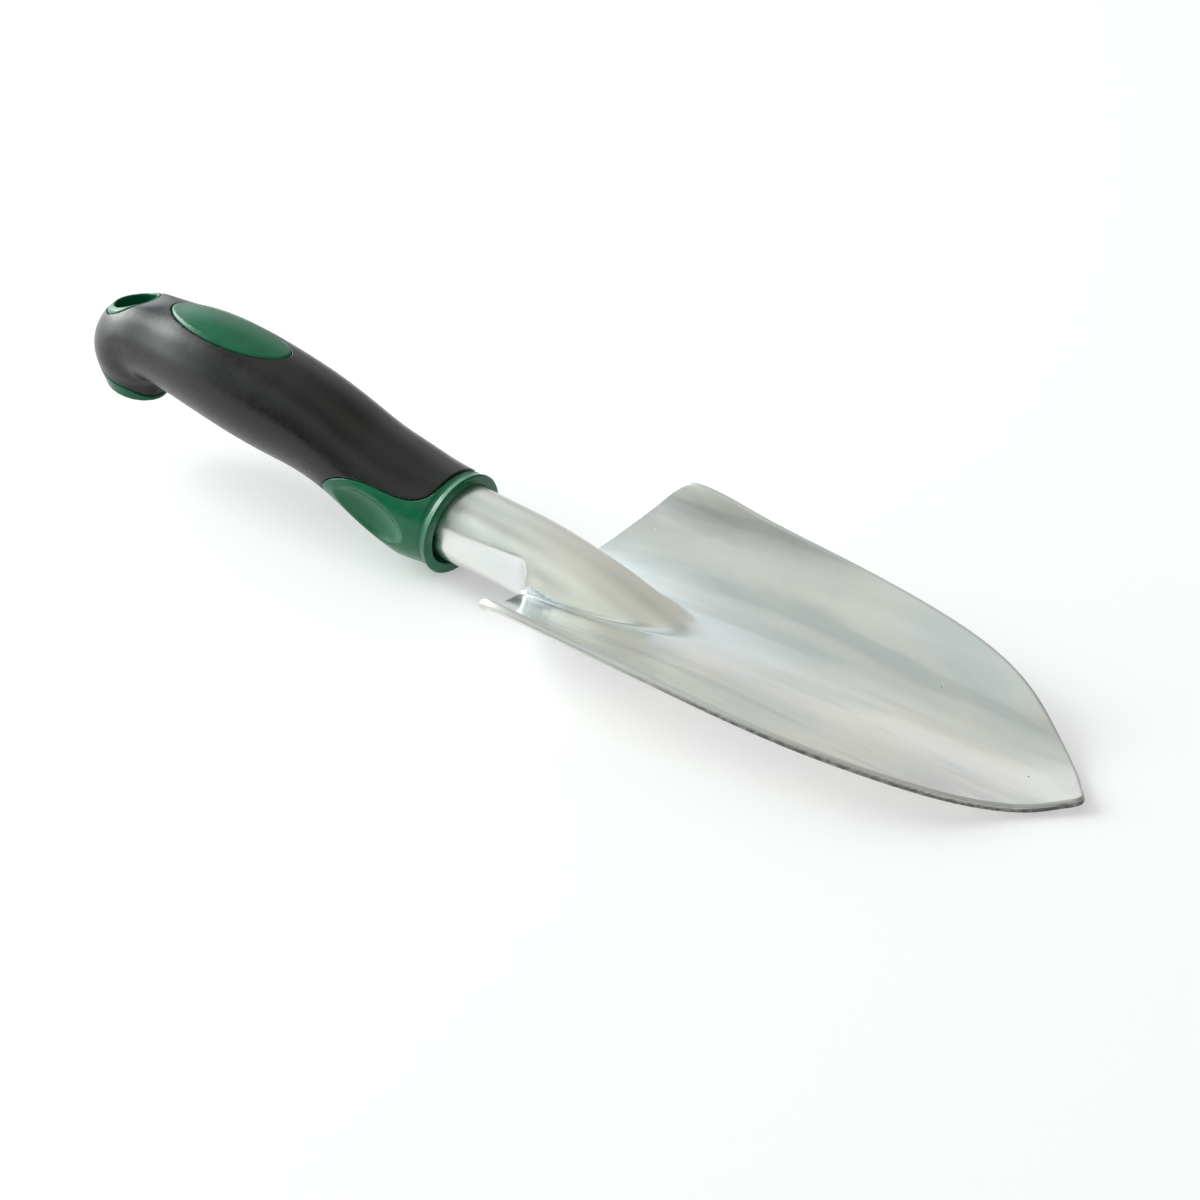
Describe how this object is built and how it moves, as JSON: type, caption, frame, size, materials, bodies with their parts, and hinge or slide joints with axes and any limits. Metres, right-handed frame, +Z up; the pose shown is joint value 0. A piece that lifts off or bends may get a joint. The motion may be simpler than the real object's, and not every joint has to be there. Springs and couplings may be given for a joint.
{
  "type": "hand trowel",
  "caption": "Hand trowel with a dished cast aluminium blade and rounded neck, and a curved plastic handle with a soft moulded grip and a hang hole.",
  "frame": {"origin": "middle of the overall length and width, on the plane the trowel rests on, with the blade facing up", "axes": "+X along the trowel to the tip of the blade, +Z up out of the blade's hollow, +Y across the blade; the part is mirror symmetric about the plane y = 0"},
  "size_m": [0.3218, 0.0804, 0.049],
  "materials": {
    "cast_aluminium": "polished casting with a faint grain",
    "green_plastic": "satin moulded plastic",
    "dark_rubber": "satin thermoplastic rubber"
  },
  "bodies": {
    "root": {"scoop": "cast_aluminium", "handle_core": "green_plastic", "grip_sleeve": "dark_rubber"}
  },
  "joints": []
}
